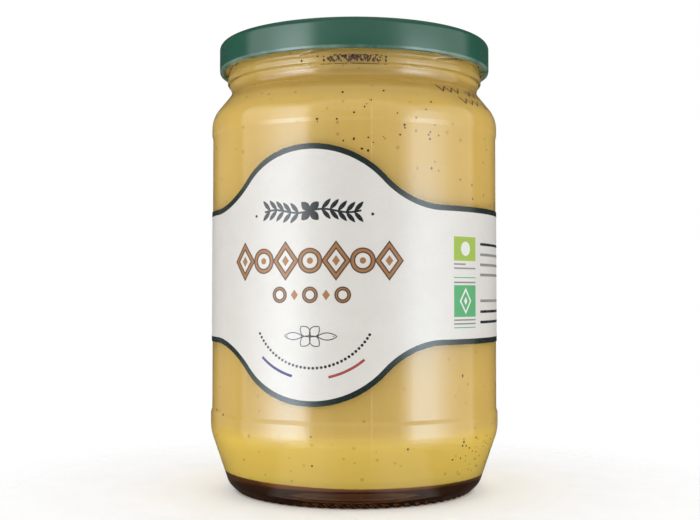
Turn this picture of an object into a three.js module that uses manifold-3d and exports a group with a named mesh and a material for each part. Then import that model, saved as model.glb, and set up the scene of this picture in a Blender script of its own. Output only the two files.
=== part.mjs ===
// A shut jar of mustard: a hollow glass jar, the mustard that fills it, a pressed twist-off lid
// and a paper label with a round medallion in front and a band that runs round to the back.
// Millimetres, +Z up. The origin is the centre of the foot, and the medallion faces -Y.

import * as THREE from "three";
import { mergeVertices } from "three/addons/utils/BufferGeometryUtils.js";
import Module from "manifold-3d";

const wasm = await Module();
wasm.setup();

const degrees = THREE.MathUtils.degToRad;

// Making of the pieces
const FACETS = 48; // flat sides round a turned piece
const ARC_STEP = degrees(24); // most turn in one straight step of a rounded corner
const CLEARANCE = 0.3; // gap between pieces that touch on the real jar

// Glass jar. Each cone is given by the two corners that it would have without rounding.
const JAR = {
  wall: 2.6,
  puntHeight: 5.8, // hollow under the foot, at its middle
  puntEdgeHeight: 1.2,
  puntRadius: 33.4,
  puntRounding: 0.8,
  standInnerRadius: 34.6, // inner edge of the flat ring that the jar stands on
  standOuterRadius: 36.85,
  standRounding: 1.2,
  heelRadius: 39.7, // where the slope off that ring turns up into the tapered wall
  heelHeight: 2.6,
  heelRounding: 5,
  floorHeight: 5.2, // inside, at its edge
  floorRise: 3.6, // inside, more at its middle
  domeRadius: 14, // where the floor and the hollow under it turn down from their level middles
  domeRounding: 90,
  floorRounding: 5,
  taperTop: 18.9,
  lowerRingRadius: 45.3,
  lowerRingRounding: 14,
  lowerRingTop: 24.4,
  ringStep: 1.2, // height of the slope between a ring and the label panel
  panelRadius: 44.9,
  panelTop: 109.9,
  upperRingRadius: 45.2,
  shoulderBase: 116.25,
  shoulderRounding: 8.5,
  neckRadius: 38.55,
  neckHeight: 124.6,
  neckRounding: 2.8,
  lowBeadRadius: 39.7,
  lowBeadTop: 126.75,
  lowBeadRounding: 0.35,
  grooveRadius: 39.55,
  grooveHeight: 127.1,
  highBeadRadius: 40.4,
  highBeadBottom: 127.5,
  highBeadTop: 129.1,
  highBeadRounding: 0.5,
  finishRadius: 39.9, // plain wall that carries the thread
  finishBottom: 129.7,
  rimHeight: 139.2,
  rimRounding: 1.1,
  mouthRadius: 36.8,
  mouthRounding: 4, // inside, where the mouth opens into the shoulder
};

// Thread ridges on the finish, one for each lug of the lid
const THREAD = {
  starts: 6,
  firstAngle: degrees(50), // low end of one ridge, from the front, anticlockwise from above
  span: degrees(58),
  steps: 10,
  lowEnd: 130.3, // height of its middle line
  highEnd: 136.1,
  crestRadius: 41.1,
  rootDepth: 0.6, // how far it reaches into the wall
  halfWidthAtRoot: 0.95,
  halfWidthAtCrest: 0.4,
  runOut: 0.16, // share of its length that rises at each end
};

const MUSTARD_TOP = 134.4;

// Twist-off lid, pressed from sheet and curled inward along its lower edge
const LID = {
  sheet: 0.5,
  radius: 42.9,
  bottom: 130.9,
  top: 140.1,
  topRounding: 1.8,
  curl: 1.5, // width and height of the curled edge
  curlRounding: 0.7,
  channelInnerRadius: 37, // raised ring over the glass rim
  panelRadius: 35.8,
  panelHeight: 139,
  ringOuterRadius: 28.4, // low raised ring between panel and button
  ringInnerRadius: 14.4,
  ringHeight: 139.4,
  ringSlope: 1.4,
  buttonHeight: 138.9, // middle of the button, drawn in a little
};

const LUG = {
  angleAlongThread: degrees(43), // middle of a lug, from the low end of the ridge above it
  span: degrees(14),
  steps: 4,
  innerRadius: 40.3,
  bottom: 131.05,
  top: 132.3,
  overlap: 0.5, // how far it reaches into the curl
};

// Paper label: an arc over the medallion's crown, then one the other way down to the band
const LABEL = {
  innerRadius: 45,
  paper: 0.12,
  middleHeight: 66.7,
  bandHalfHeight: 20.1,
  crownHalfHeight: 37,
  crownRadius: 30.3,
  flare: degrees(46.5), // slope where the crown's arc turns into the other
  endAngle: degrees(174),
  endRounding: 3,
  endSteps: 4,
  step: degrees(3),
};

const FINISH = {
  glass: { color: 0xd8e0da, roughness: 0.05, metalness: 0, transparent: true, opacity: 0.4 },
  mustard: { color: 0xcfab5c, roughness: 0.55, metalness: 0 },
  paintedLid: { color: 0x325c4c, roughness: 0.35, metalness: 0.1 },
  paper: { color: 0xebe8e2, roughness: 0.85, metalness: 0 },
};

// Outlines and solids

// Points of an outline from its corners, [radius, height, rounding]. A rounded corner is an arc
// that is tangent to both of its sides.
function roundedOutline(corners) {
  const places = corners.map(([radius, height]) => new THREE.Vector2(radius, height));
  const outline = [];
  corners.forEach(([, , rounding = 0], index) => {
    const place = places[index];
    if (rounding === 0) {
      outline.push(place);
      return;
    }
    const back = places[index - 1].clone().sub(place).normalize();
    const ahead = places[index + 1].clone().sub(place).normalize();
    const halfAngle = Math.acos(back.dot(ahead)) / 2;
    const toCentre = back.clone().add(ahead).setLength(rounding / Math.sin(halfAngle));
    const centre = place.clone().add(toCentre);
    const start = place.clone().addScaledVector(back, rounding / Math.tan(halfAngle));
    const turn = (Math.PI - 2 * halfAngle) * Math.sign(ahead.cross(back));
    const steps = Math.ceil(Math.abs(turn) / ARC_STEP);
    for (let step = 0; step <= steps; step += 1) {
      outline.push(start.clone().rotateAround(centre, turn * step / steps));
    }
  });
  return outline;
}

// An outline turned round the Z axis
function turned(corners) {
  return new THREE.LatheGeometry(roundedOutline(corners), FACETS).rotateX(Math.PI / 2);
}

// A point at an angle from the front, anticlockwise as seen from above
function around(angle, radius, height) {
  return new THREE.Vector3(radius * Math.sin(angle), -radius * Math.cos(angle), height);
}

// A closed solid through a row of sections that each have the same number of points
function swept(sections) {
  const sides = sections[0].length;
  const triangles = [];
  for (let row = 0; row + 1 < sections.length; row += 1) {
    for (let side = 0; side < sides; side += 1) {
      const here = row * sides + side;
      const beside = row * sides + (side + 1) % sides;
      triangles.push(here, beside + sides, beside, here, here + sides, beside + sides);
    }
  }
  const last = (sections.length - 1) * sides;
  for (let side = 1; side + 1 < sides; side += 1) {
    triangles.push(0, side, side + 1, last, last + side + 1, last + side);
  }
  const geometry = new THREE.BufferGeometry();
  geometry.setFromPoints(sections.flat());
  geometry.setIndex(triangles);
  return geometry;
}

// Several closed geometries joined into one solid
function joined(geometries) {
  const solids = geometries.map((geometry) => {
    geometry.deleteAttribute("normal");
    geometry.deleteAttribute("uv");
    const merged = mergeVertices(geometry);
    const corners = Array.from(merged.index.array);
    const kept = corners.filter((_, place) => {
      const [a, b, c] = corners.slice(place - place % 3, place - place % 3 + 3);
      return a !== b && b !== c && c !== a;
    });
    return new wasm.Manifold(new wasm.Mesh({
      numProp: 3,
      vertProperties: new Float32Array(merged.attributes.position.array),
      triVerts: new Uint32Array(kept),
    }));
  });
  const mesh = solids.reduce((whole, solid) => whole.add(solid)).getMesh();
  const geometry = new THREE.BufferGeometry();
  geometry.setAttribute("position", new THREE.BufferAttribute(mesh.vertProperties, 3));
  geometry.setIndex(new THREE.BufferAttribute(mesh.triVerts, 1));
  geometry.computeVertexNormals();
  return geometry;
}

function piece(name, geometry, finish) {
  const mesh = new THREE.Mesh(geometry, new THREE.MeshStandardMaterial(finish));
  mesh.name = name;
  return mesh;
}

// Glass jar

const TAPER = [[JAR.heelRadius, JAR.heelHeight], [JAR.lowerRingRadius, JAR.taperTop]];
const SHOULDER = [[JAR.upperRingRadius, JAR.shoulderBase], [JAR.neckRadius, JAR.neckHeight]];
const BODY_INNER_RADIUS = JAR.panelRadius - JAR.wall;

// A cone moved inward by the wall: its radius at a height, and its height at a radius
function innerCone([low, high]) {
  const slope = (high[0] - low[0]) / (high[1] - low[1]);
  const shift = JAR.wall * Math.hypot(slope, 1);
  return {
    radiusAt: (height) => low[0] - shift + (height - low[1]) * slope,
    heightAt: (radius) => low[1] + (radius + shift - low[0]) / slope,
  };
}

// Corners of the hollow, from the mouth down to the middle of the floor
function hollow(topHeight, inset) {
  const taper = innerCone(TAPER);
  const shoulder = innerCone(SHOULDER);
  const mouth = JAR.mouthRadius - inset;
  const body = BODY_INNER_RADIUS - inset;
  const floor = JAR.floorHeight + inset;
  return [
    [mouth, topHeight],
    [mouth, shoulder.heightAt(JAR.mouthRadius), JAR.mouthRounding],
    [body, shoulder.heightAt(BODY_INNER_RADIUS), JAR.shoulderRounding],
    [body, taper.heightAt(BODY_INNER_RADIUS), JAR.lowerRingRounding],
    [taper.radiusAt(JAR.floorHeight) - inset, floor, JAR.floorRounding],
    [JAR.domeRadius, floor + JAR.floorRise, JAR.domeRounding],
    [0, floor + JAR.floorRise],
  ];
}

function jarOutside() {
  return [
    [0, JAR.puntHeight],
    [JAR.domeRadius, JAR.puntHeight, JAR.domeRounding],
    [JAR.puntRadius, JAR.puntEdgeHeight, JAR.puntRounding],
    [JAR.standInnerRadius, 0],
    [JAR.standOuterRadius, 0, JAR.standRounding],
    [...TAPER[0], JAR.heelRounding],
    [...TAPER[1], JAR.lowerRingRounding],
    [JAR.lowerRingRadius, JAR.lowerRingTop],
    [JAR.panelRadius, JAR.lowerRingTop + JAR.ringStep],
    [JAR.panelRadius, JAR.panelTop],
    [JAR.upperRingRadius, JAR.panelTop + JAR.ringStep],
    [...SHOULDER[0], JAR.shoulderRounding],
    [...SHOULDER[1], JAR.neckRounding],
    [JAR.lowBeadRadius, JAR.lowBeadTop, JAR.lowBeadRounding],
    [JAR.grooveRadius, JAR.grooveHeight],
    [JAR.highBeadRadius, JAR.highBeadBottom, JAR.highBeadRounding],
    [JAR.highBeadRadius, JAR.highBeadTop, JAR.highBeadRounding],
    [JAR.finishRadius, JAR.finishBottom],
    [JAR.finishRadius, JAR.rimHeight, JAR.rimRounding],
  ];
}

function threadStart(start) {
  return THREAD.firstAngle + start * 2 * Math.PI / THREAD.starts;
}

function threadRidge(start) {
  const sections = [];
  for (let step = 0; step <= THREAD.steps; step += 1) {
    const along = step / THREAD.steps;
    const angle = threadStart(start) + along * THREAD.span;
    const middle = THREE.MathUtils.lerp(THREAD.lowEnd, THREAD.highEnd, along);
    const rise = THREE.MathUtils.smoothstep(Math.min(along, 1 - along), 0, THREAD.runOut);
    const root = JAR.finishRadius - THREAD.rootDepth;
    const crest = THREE.MathUtils.lerp(root + THREAD.rootDepth / 2, THREAD.crestRadius, rise);
    sections.push([
      around(angle, root, middle - THREAD.halfWidthAtRoot),
      around(angle, crest, middle - THREAD.halfWidthAtCrest),
      around(angle, crest, middle + THREAD.halfWidthAtCrest),
      around(angle, root, middle + THREAD.halfWidthAtRoot),
    ]);
  }
  return swept(sections);
}

function glassJar() {
  const inside = hollow(JAR.rimHeight, 0);
  inside[0].push(JAR.rimRounding);
  const solids = [turned([...jarOutside(), ...inside])];
  for (let start = 0; start < THREAD.starts; start += 1) {
    solids.push(threadRidge(start));
  }
  return joined(solids);
}

// Mustard

function mustardFill() {
  const corners = hollow(MUSTARD_TOP, CLEARANCE);
  return joined([turned([...corners.reverse(), [0, MUSTARD_TOP]])]);
}

// Lid

function lidPanel() {
  return [
    [0, LID.buttonHeight],
    [LID.ringInnerRadius - LID.ringSlope, LID.panelHeight],
    [LID.ringInnerRadius, LID.ringHeight],
    [LID.ringOuterRadius - LID.ringSlope, LID.ringHeight],
    [LID.ringOuterRadius, LID.panelHeight],
    [LID.panelRadius, LID.panelHeight],
    [LID.channelInnerRadius, LID.top],
  ];
}

function lidLug(start) {
  const middle = threadStart(start) + LUG.angleAlongThread;
  const outer = LID.radius - LID.curl + LUG.overlap;
  const sections = [];
  for (let step = 0; step <= LUG.steps; step += 1) {
    const angle = middle + LUG.span * (step / LUG.steps - 0.5);
    sections.push([
      around(angle, LUG.innerRadius, LUG.bottom),
      around(angle, outer, LUG.bottom),
      around(angle, outer, LUG.top),
      around(angle, LUG.innerRadius, LUG.top),
    ]);
  }
  return swept(sections);
}

function twistOffLid() {
  const skirtInside = LID.radius - LID.sheet;
  const curlInside = LID.radius - LID.curl;
  const curlTop = LID.bottom + LID.curl;
  const underside = lidPanel().map(([radius, height]) => [radius, height - LID.sheet]);
  const skirt = [
    [skirtInside, LID.top - LID.sheet, LID.topRounding - LID.sheet],
    [skirtInside, curlTop],
    [curlInside, curlTop, LID.curlRounding],
    [curlInside, LID.bottom, LID.curlRounding],
    [LID.radius, LID.bottom, LID.curlRounding],
    [LID.radius, LID.top, LID.topRounding],
  ];
  const solids = [turned([...underside, ...skirt, ...lidPanel().reverse()])];
  for (let start = 0; start < THREAD.starts; start += 1) {
    solids.push(lidLug(start));
  }
  return joined(solids);
}

// Label

const RISE = LABEL.crownHalfHeight - LABEL.bandHalfHeight;
const FLARE_RADIUS = RISE / (1 - Math.cos(LABEL.flare)) - LABEL.crownRadius;
const CROWN_END = LABEL.crownRadius * Math.sin(LABEL.flare);
const FLARE_END = CROWN_END + FLARE_RADIUS * Math.sin(LABEL.flare);

// How far an arc of a radius has fallen from its top at a distance along
function arcFall(radius, distance) {
  return radius - Math.sqrt(radius ** 2 - distance ** 2);
}

// Half of the label's height at a distance from its middle, measured along the paper
function labelHalfHeight(distance) {
  const end = LABEL.endAngle * LABEL.innerRadius;
  if (distance < CROWN_END) {
    return LABEL.crownHalfHeight - arcFall(LABEL.crownRadius, distance);
  }
  if (distance < FLARE_END) {
    return LABEL.bandHalfHeight + arcFall(FLARE_RADIUS, FLARE_END - distance);
  }
  const pastCorner = Math.max(0, distance - (end - LABEL.endRounding));
  return LABEL.bandHalfHeight - arcFall(LABEL.endRounding, Math.min(pastCorner, LABEL.endRounding));
}

function labelAngles() {
  const roundingAngle = LABEL.endRounding / LABEL.innerRadius;
  const corner = LABEL.endAngle - roundingAngle;
  const angles = [];
  for (let angle = 0; angle < corner; angle += LABEL.step) {
    angles.push(angle);
  }
  for (let step = 0; step <= LABEL.endSteps; step += 1) {
    angles.push(corner + roundingAngle * Math.sin(step / LABEL.endSteps * Math.PI / 2));
  }
  const mirrored = angles.slice(1).reverse().map((angle) => -angle);
  return [...mirrored, ...angles];
}

function paperLabel() {
  const outer = LABEL.innerRadius + LABEL.paper;
  const sections = labelAngles().map((angle) => {
    const half = labelHalfHeight(Math.abs(angle) * LABEL.innerRadius);
    const low = LABEL.middleHeight - half;
    const high = LABEL.middleHeight + half;
    return [
      around(angle, LABEL.innerRadius, low),
      around(angle, outer, low),
      around(angle, outer, high),
      around(angle, LABEL.innerRadius, high),
    ];
  });
  return joined([swept(sections)]);
}

const mustardJar = new THREE.Group();
mustardJar.name = "mustard_jar";
mustardJar.add(
  piece("glass_jar", glassJar(), FINISH.glass),
  piece("mustard", mustardFill(), FINISH.mustard),
  piece("lid", twistOffLid(), FINISH.paintedLid),
  piece("label", paperLabel(), FINISH.paper),
);

export default mustardJar;
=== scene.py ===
# Looks of a shut jar of mustard: moulded clear glass, the mustard behind it, a lacquered twist-off lid
# and a printed paper label. Sizes are millimetres until a mesh is made, and angles are counted from
# the middle of the label's medallion, anticlockwise as seen from above.

import math

import bmesh
import bpy
import numpy as np
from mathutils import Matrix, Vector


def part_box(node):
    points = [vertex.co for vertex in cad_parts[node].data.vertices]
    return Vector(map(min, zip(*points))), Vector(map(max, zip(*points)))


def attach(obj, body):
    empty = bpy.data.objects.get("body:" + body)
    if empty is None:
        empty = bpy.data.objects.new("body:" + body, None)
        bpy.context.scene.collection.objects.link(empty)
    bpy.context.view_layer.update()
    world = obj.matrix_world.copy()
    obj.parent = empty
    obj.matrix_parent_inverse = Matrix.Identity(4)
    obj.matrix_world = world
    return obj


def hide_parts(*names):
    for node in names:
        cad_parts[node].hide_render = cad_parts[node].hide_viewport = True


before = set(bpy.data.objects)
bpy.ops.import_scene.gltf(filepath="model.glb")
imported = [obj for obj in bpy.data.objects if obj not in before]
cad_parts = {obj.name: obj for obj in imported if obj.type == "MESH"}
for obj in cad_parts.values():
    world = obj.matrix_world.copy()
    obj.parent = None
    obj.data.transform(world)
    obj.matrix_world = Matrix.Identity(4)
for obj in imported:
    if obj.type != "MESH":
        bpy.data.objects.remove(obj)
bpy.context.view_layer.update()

MILLIMETRE = 0.001
TURN = 2 * math.pi

# Allowance, in millimetres, where heights or radii are compared
SLACK = 0.01

UP = np.array([0.0, 0.0, 1.0])


def ways(angle):
    """Unit vectors outward and to the right, at an angle from the front."""
    sine, cosine = math.sin(angle), math.cos(angle)
    return np.array([sine, -cosine, 0.0]), np.array([cosine, sine, 0.0])


def even_turns(count):
    """Angles evenly spaced all round."""
    return np.arange(count) * TURN / count


def turned_apart(angles, middle):
    """How far angles lie from one, the shorter way round."""
    return np.abs((angles - middle + math.pi) % TURN - math.pi)


def node_box(node):
    """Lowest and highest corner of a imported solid, in millimetres."""
    low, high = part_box(node)
    return np.array(low) / MILLIMETRE, np.array(high) / MILLIMETRE


JAR_BOX = node_box("glass_jar")
MUSTARD_BOX = node_box("mustard")
LID_BOX = node_box("lid")
LABEL_BOX = node_box("label")


# Sizes of the jar


class Jar:
    wall = 2.6
    punt_height = 5.8
    punt_edge_height = 1.2
    punt_radius = 33.4
    punt_rounding = 0.8
    stand_inner_radius = 34.6
    stand_outer_radius = 36.85
    stand_rounding = 1.2
    heel_radius = 39.7
    heel_height = 2.6
    heel_rounding = 5.0
    floor_height = 5.2
    floor_rise = 3.6
    floor_rounding = 5.0
    dome_radius = 14.0
    dome_rounding = 90.0
    taper_top = 18.9
    lower_ring_radius = JAR_BOX[1][0]
    lower_ring_rounding = 14.0
    lower_ring_top = 24.4
    ring_step = 1.2
    ring_rounding = 0.9
    panel_radius = 44.9
    panel_top = 109.9
    upper_ring_radius = 45.2
    shoulder_base = 116.25
    shoulder_rounding = 8.5
    neck_radius = 38.55
    neck_height = 124.6
    neck_rounding = 2.8
    low_bead_radius = 39.7
    low_bead_top = 126.75
    low_bead_rounding = 0.35
    groove_radius = 39.55
    groove_height = 127.1
    groove_rounding = 0.15
    high_bead_radius = 40.4
    high_bead_bottom = 127.5
    high_bead_top = 129.1
    high_bead_rounding = 0.5
    finish_radius = 39.9
    finish_bottom = 129.7
    finish_rounding = 0.3
    rim_height = JAR_BOX[1][2]
    rim_rounding = 1.1
    mouth_radius = 36.8
    mouth_rounding = 4.0
    columns = 432
    seam_angles = (math.radians(22.0), math.radians(202.0))
    seam_height = 0.08
    seam_half_width = 0.22
    seam_low = 4.0
    seam_high = 124.0
    seam_columns = np.radians(np.linspace(-0.5, 0.5, 9))


class Thread:
    starts = 6
    first_angle = math.radians(50)
    span = math.radians(58)
    low_end = 130.3
    high_end = 136.1
    lowest = 128.7
    highest = Jar.rim_height - 1.0
    crest_radius = 41.1
    half_width_at_root = 0.95
    half_width_at_crest = 0.4
    run_out = 0.16
    row_spacing = 0.2


class Knurl:
    bars = 72
    depth = 0.24
    slant = 0.30
    flank = 0.35
    begin = 0.7
    end = 5.0
    fade = 0.7
    row_spacing = 0.22
    top = 3.2


class Mustard:
    columns = 216
    reach_into_wall = 0.15
    top = MUSTARD_BOX[1][2]


class Lid:
    columns = 240
    sheet = 0.4
    radius = LID_BOX[1][0]
    bottom = LID_BOX[0][2]
    top = LID_BOX[1][2]
    top_rounding = 1.8
    bead = 1.5
    bead_rounding = 0.5
    bead_lean = 0.18
    bead_lean_height = 0.9
    channel_inner_radius = 37.0
    panel_radius = 35.8
    panel_height = 139.0
    press_rounding = 0.8
    ring_outer_radius = 28.4
    ring_inner_radius = 14.4
    ring_height = 139.4
    ring_slope = 1.4
    button_height = 138.9
    lug_angle = math.radians(43)
    lug_span = math.radians(15)
    lug_flat = 0.3
    lug_depth = 1.0


class Label:
    radius = -LABEL_BOX[0][1]
    paper = 0.12
    middle = (LABEL_BOX[0][2] + LABEL_BOX[1][2]) / 2
    crown_half_height = (LABEL_BOX[1][2] - LABEL_BOX[0][2]) / 2
    band_half_height = 20.1
    crown_radius = 30.3
    flare = math.radians(46.5)
    end_angle = math.radians(174)
    end_rounding = 3.0
    column_step = math.radians(0.5)
    border = 1.6
    ink_lift = 0.02
    ink_over = 0.04
    ink_sink = 0.01
    ink_column = 0.8


# The photo's camera, which stands a little to the right of the medallion


class Shot:
    image_width = 700
    focal_pixels = 1091.6
    axis_pixel = 354.2
    sensor = 36.0
    azimuth = math.radians(16.0)
    distance = 349.4
    height = 61.5
    pitch = math.radians(1.737)


TO_CAMERA, TO_RIGHT = ways(Shot.azimuth)


# Outlines and meshes


def unit(vector):
    return vector / np.linalg.norm(vector)


def rounded_outline(corners, arc_step=math.radians(7)):
    """Points of an outline from corners (radius, height, rounding), each rounding a tangent arc."""
    places = [np.array(corner[:2], float) for corner in corners]
    points = []
    for index, corner in enumerate(corners):
        place = places[index]
        if len(corner) == 2:
            points.append(place)
            continue
        rounding = corner[2]
        back = unit(places[index - 1] - place)
        ahead = unit(places[index + 1] - place)
        half = math.acos(np.clip(back @ ahead, -1, 1)) / 2
        centre = place + unit(back + ahead) * rounding / math.sin(half)
        arm = place + back * rounding / math.tan(half) - centre
        turn = math.copysign(math.pi - 2 * half, ahead[0] * back[1] - ahead[1] * back[0])
        steps = max(1, math.ceil(abs(turn) / arc_step))
        for angle in np.linspace(0, turn, steps + 1):
            cosine, sine = math.cos(angle), math.sin(angle)
            points.append(centre + (arm[0] * cosine - arm[1] * sine, arm[0] * sine + arm[1] * cosine))
    return np.array(points)


def finer(outline, low, high, spacing):
    """The outline with shorter steps wherever both ends of a step lie between two heights."""
    points = [outline[0]]
    for start, end in zip(outline[:-1], outline[1:]):
        inside = low <= min(start[1], end[1]) and max(start[1], end[1]) <= high
        pieces = math.ceil(np.linalg.norm(end - start) / spacing) if inside else 1
        for piece in range(1, pieces + 1):
            points.append(start + (end - start) * piece / pieces)
    return np.array(points)


def directions(path, closed=False):
    """Unit direction of a path at each of its points."""
    if closed:
        steps = np.roll(path, -1, axis=0) - np.roll(path, 1, axis=0)
    else:
        steps = np.gradient(path, axis=0)
    return steps / np.linalg.norm(steps, axis=1, keepdims=True)


def outward(path, closed=False):
    """Unit vectors to the right of a path, which is outward for an outline that runs up the outside."""
    along = directions(path, closed)
    return np.stack([along[:, 1], -along[:, 0]], axis=1)


def smooth_rise(values, start, end):
    """0 before start, 1 after end, with a smooth step between."""
    share = np.clip((values - start) / (end - start), 0, 1)
    return share * share * (3 - 2 * share)


def round_points(angles, radii, heights):
    """Points in millimetres at angles from the front."""
    return np.stack([radii * np.sin(angles), -radii * np.cos(angles), heights + 0 * angles], axis=-1)


class Batch:
    """Vertices and faces of one mesh, gathered shape by shape."""

    def __init__(self):
        self.points = []
        self.faces = []
        self.slots = []
        self.count = 0

    def add(self, points, faces, slot=0):
        self.points.append(np.asarray(points, float).reshape(-1, 3))
        self.faces.extend([tuple(self.count + corner for corner in face) for face in faces])
        self.slots.extend([slot] * len(faces))
        self.count += len(self.points[-1])

    def grid(self, points, wrap_rows=False, wrap_columns=False, row_slots=None):
        """A grid of points joined by quads. Either direction can close on itself."""
        rows, columns = points.shape[:2]
        for row in range(rows if wrap_rows else rows - 1):
            below = (row + 1) % rows
            for column in range(columns if wrap_columns else columns - 1):
                beside = (column + 1) % columns
                self.faces.append(tuple(self.count + place for place in (
                    row * columns + column, row * columns + beside,
                    below * columns + beside, below * columns + column)))
                self.slots.append(row_slots[row] if row_slots is not None else 0)
        self.points.append(points.reshape(-1, 3))
        self.count += rows * columns

    def turned(self, angles, radii, heights, row_slots=None):
        """A closed surface from rows of radii and heights at angles all round."""
        self.grid(round_points(angles[None, :], radii, heights), wrap_columns=True, row_slots=row_slots)

    def sections(self, sections, closed=False):
        """A solid through sections of four points each, capped unless it closes on itself."""
        sections = np.asarray(sections, float)
        first = self.count
        self.grid(sections, wrap_rows=closed, wrap_columns=True)
        if not closed:
            self.faces.append((first, first + 1, first + 2, first + 3))
            self.faces.append(tuple(self.count - 1 - corner for corner in range(4)))
            self.slots.extend([0, 0])

    def piece(self, name, materials, sharp_angle=40):
        """The finished object, with doubled points merged and every face turned outward."""
        mesh = bpy.data.meshes.new(name)
        mesh.from_pydata((np.concatenate(self.points) * MILLIMETRE).tolist(), [], self.faces)
        for material in materials:
            mesh.materials.append(material)
        mesh.polygons.foreach_set("material_index", self.slots)
        work = bmesh.new()
        work.from_mesh(mesh)
        bmesh.ops.remove_doubles(work, verts=work.verts, dist=1e-8)
        bmesh.ops.recalc_face_normals(work, faces=work.faces)
        work.to_mesh(mesh)
        work.free()
        mesh.polygons.foreach_set("use_smooth", [True] * len(mesh.polygons))
        mesh.set_sharp_from_angle(angle=math.radians(sharp_angle))
        made = bpy.data.objects.new(name, mesh)
        bpy.context.scene.collection.objects.link(made)
        return made


def dressed(piece, slot, *replaced):
    """Sets a finished piece on the jar's body and hides the imported parts that it stands for; its finish,
    the slot, is not used.
    """
    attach(piece, "root")
    if replaced:
        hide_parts(*replaced)
    return piece


# Shader nodes and the effects that materials share


def add_node(tree, kind, values=None, **settings):
    """A node with its settings, and its sockets set to values or joined to other sockets."""
    node = tree.nodes.new(kind)
    for name, value in settings.items():
        setattr(node, name, value)
    for socket, value in (values or {}).items():
        if isinstance(value, bpy.types.NodeSocket):
            tree.links.new(value, node.inputs[socket])
        else:
            node.inputs[socket].default_value = value
    return node


def arithmetic(tree, operation, *values, clamp=False):
    node = add_node(tree, "ShaderNodeMath", dict(enumerate(values)), operation=operation, use_clamp=clamp)
    return node.outputs[0]


def vector_arithmetic(tree, operation, *values):
    return add_node(tree, "ShaderNodeVectorMath", dict(enumerate(values)), operation=operation).outputs


def mixed(tree, factor, first, second):
    """One colour mixed into another."""
    node = add_node(tree, "ShaderNodeMix", {0: factor, 6: first, 7: second}, data_type="RGBA")
    return node.outputs[2]


def blended(tree, factor, first, second):
    """One value mixed into another."""
    return add_node(tree, "ShaderNodeMix", {0: factor, 2: first, 3: second}).outputs[0]


def tinted(tree, base, mask, share, colour):
    """A colour laid over another where a mask is, as strongly as a share."""
    return mixed(tree, arithmetic(tree, "MULTIPLY", mask, share), base, colour)


def product(tree, first, *others):
    for other in others:
        first = arithmetic(tree, "MULTIPLY", first, other)
    return first


def ranged(tree, value, from_low, from_high, to_low, to_high):
    return add_node(tree, "ShaderNodeMapRange", {
        "Value": value, "From Min": from_low, "From Max": from_high, "To Min": to_low, "To Max": to_high,
    }).outputs[0]


def window(tree, value, rise, fall):
    """1 between two edges, each given as the (start, end) that it rises or falls over."""
    rising = ranged(tree, value, *rise, 0.0, 1.0)
    return arithmetic(tree, "MULTIPLY", rising, ranged(tree, value, *fall, 1.0, 0.0))


def along_way(tree, place, way):
    """How far a place lies along a direction."""
    return vector_arithmetic(tree, "DOT_PRODUCT", place, way)["Value"]


def mirrored_rays(tree, rays):
    """1 for a ray that left a surface as a reflection and passed through nothing."""
    return arithmetic(tree, "SUBTRACT", rays["Is Glossy Ray"], rays["Is Transmission Ray"], clamp=True)


def rgb(red, green, blue):
    """A screen colour, 0 to 255, as the linear colour that a socket takes."""
    def linear(level):
        share = level / 255
        return share / 12.92 if share <= 0.04045 else ((share + 0.055) / 1.055) ** 2.4
    return (linear(red), linear(green), linear(blue), 1.0)


def new_effect(name, inputs, outputs):
    """An empty node group with named float inputs and outputs."""
    tree = bpy.data.node_groups.new(name, "ShaderNodeTree")
    for socket, value in inputs.items():
        made = tree.interface.new_socket(name=socket, in_out="INPUT", socket_type="NodeSocketFloat")
        made.default_value = value
    for socket in outputs:
        tree.interface.new_socket(name=socket, in_out="OUTPUT", socket_type="NodeSocketFloat")
    given = tree.nodes.new("NodeGroupInput")
    taken = tree.nodes.new("NodeGroupOutput")
    return tree, given.outputs, taken.inputs


def grain_effect():
    """Noise in the object's own space, drawn out upward by Stretch."""
    tree, given, taken = new_effect("Grain", {"Scale": 100.0, "Stretch": 1.0}, ["Height", "Shade"])
    place = add_node(tree, "ShaderNodeTexCoord").outputs["Object"]
    squeeze = add_node(tree, "ShaderNodeCombineXYZ", {
        "X": 1.0, "Y": 1.0, "Z": arithmetic(tree, "DIVIDE", 1.0, given["Stretch"])})
    drawn = vector_arithmetic(tree, "MULTIPLY", place, squeeze.outputs[0])[0]
    noise = add_node(tree, "ShaderNodeTexNoise", {
        "Vector": drawn, "Scale": given["Scale"], "Detail": 4.0, "Roughness": 0.6})
    tree.links.new(noise.outputs[0], taken["Height"])
    tree.links.new(ranged(tree, noise.outputs[0], 0.3, 0.7, 0.0, 1.0), taken["Shade"])
    return tree


def fleck_effect():
    """Small scattered spots: Share is how many cells hold one, Size its part of the cell."""
    tree, given, taken = new_effect("Flecks", {"Scale": 200.0, "Size": 0.3, "Share": 0.2}, ["Mask"])
    place = add_node(tree, "ShaderNodeTexCoord").outputs["Object"]
    cells = add_node(tree, "ShaderNodeTexVoronoi", {"Vector": place, "Scale": given["Scale"]})
    draw = add_node(tree, "ShaderNodeSeparateColor", {0: cells.outputs["Color"]})
    held = arithmetic(tree, "LESS_THAN", draw.outputs[0], given["Share"])
    width = arithmetic(tree, "MULTIPLY", given["Size"], arithmetic(tree, "ADD", draw.outputs[1], 0.3))
    spot = arithmetic(tree, "LESS_THAN", cells.outputs["Distance"], width)
    tree.links.new(arithmetic(tree, "MULTIPLY", held, spot), taken["Mask"])
    return tree


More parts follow.
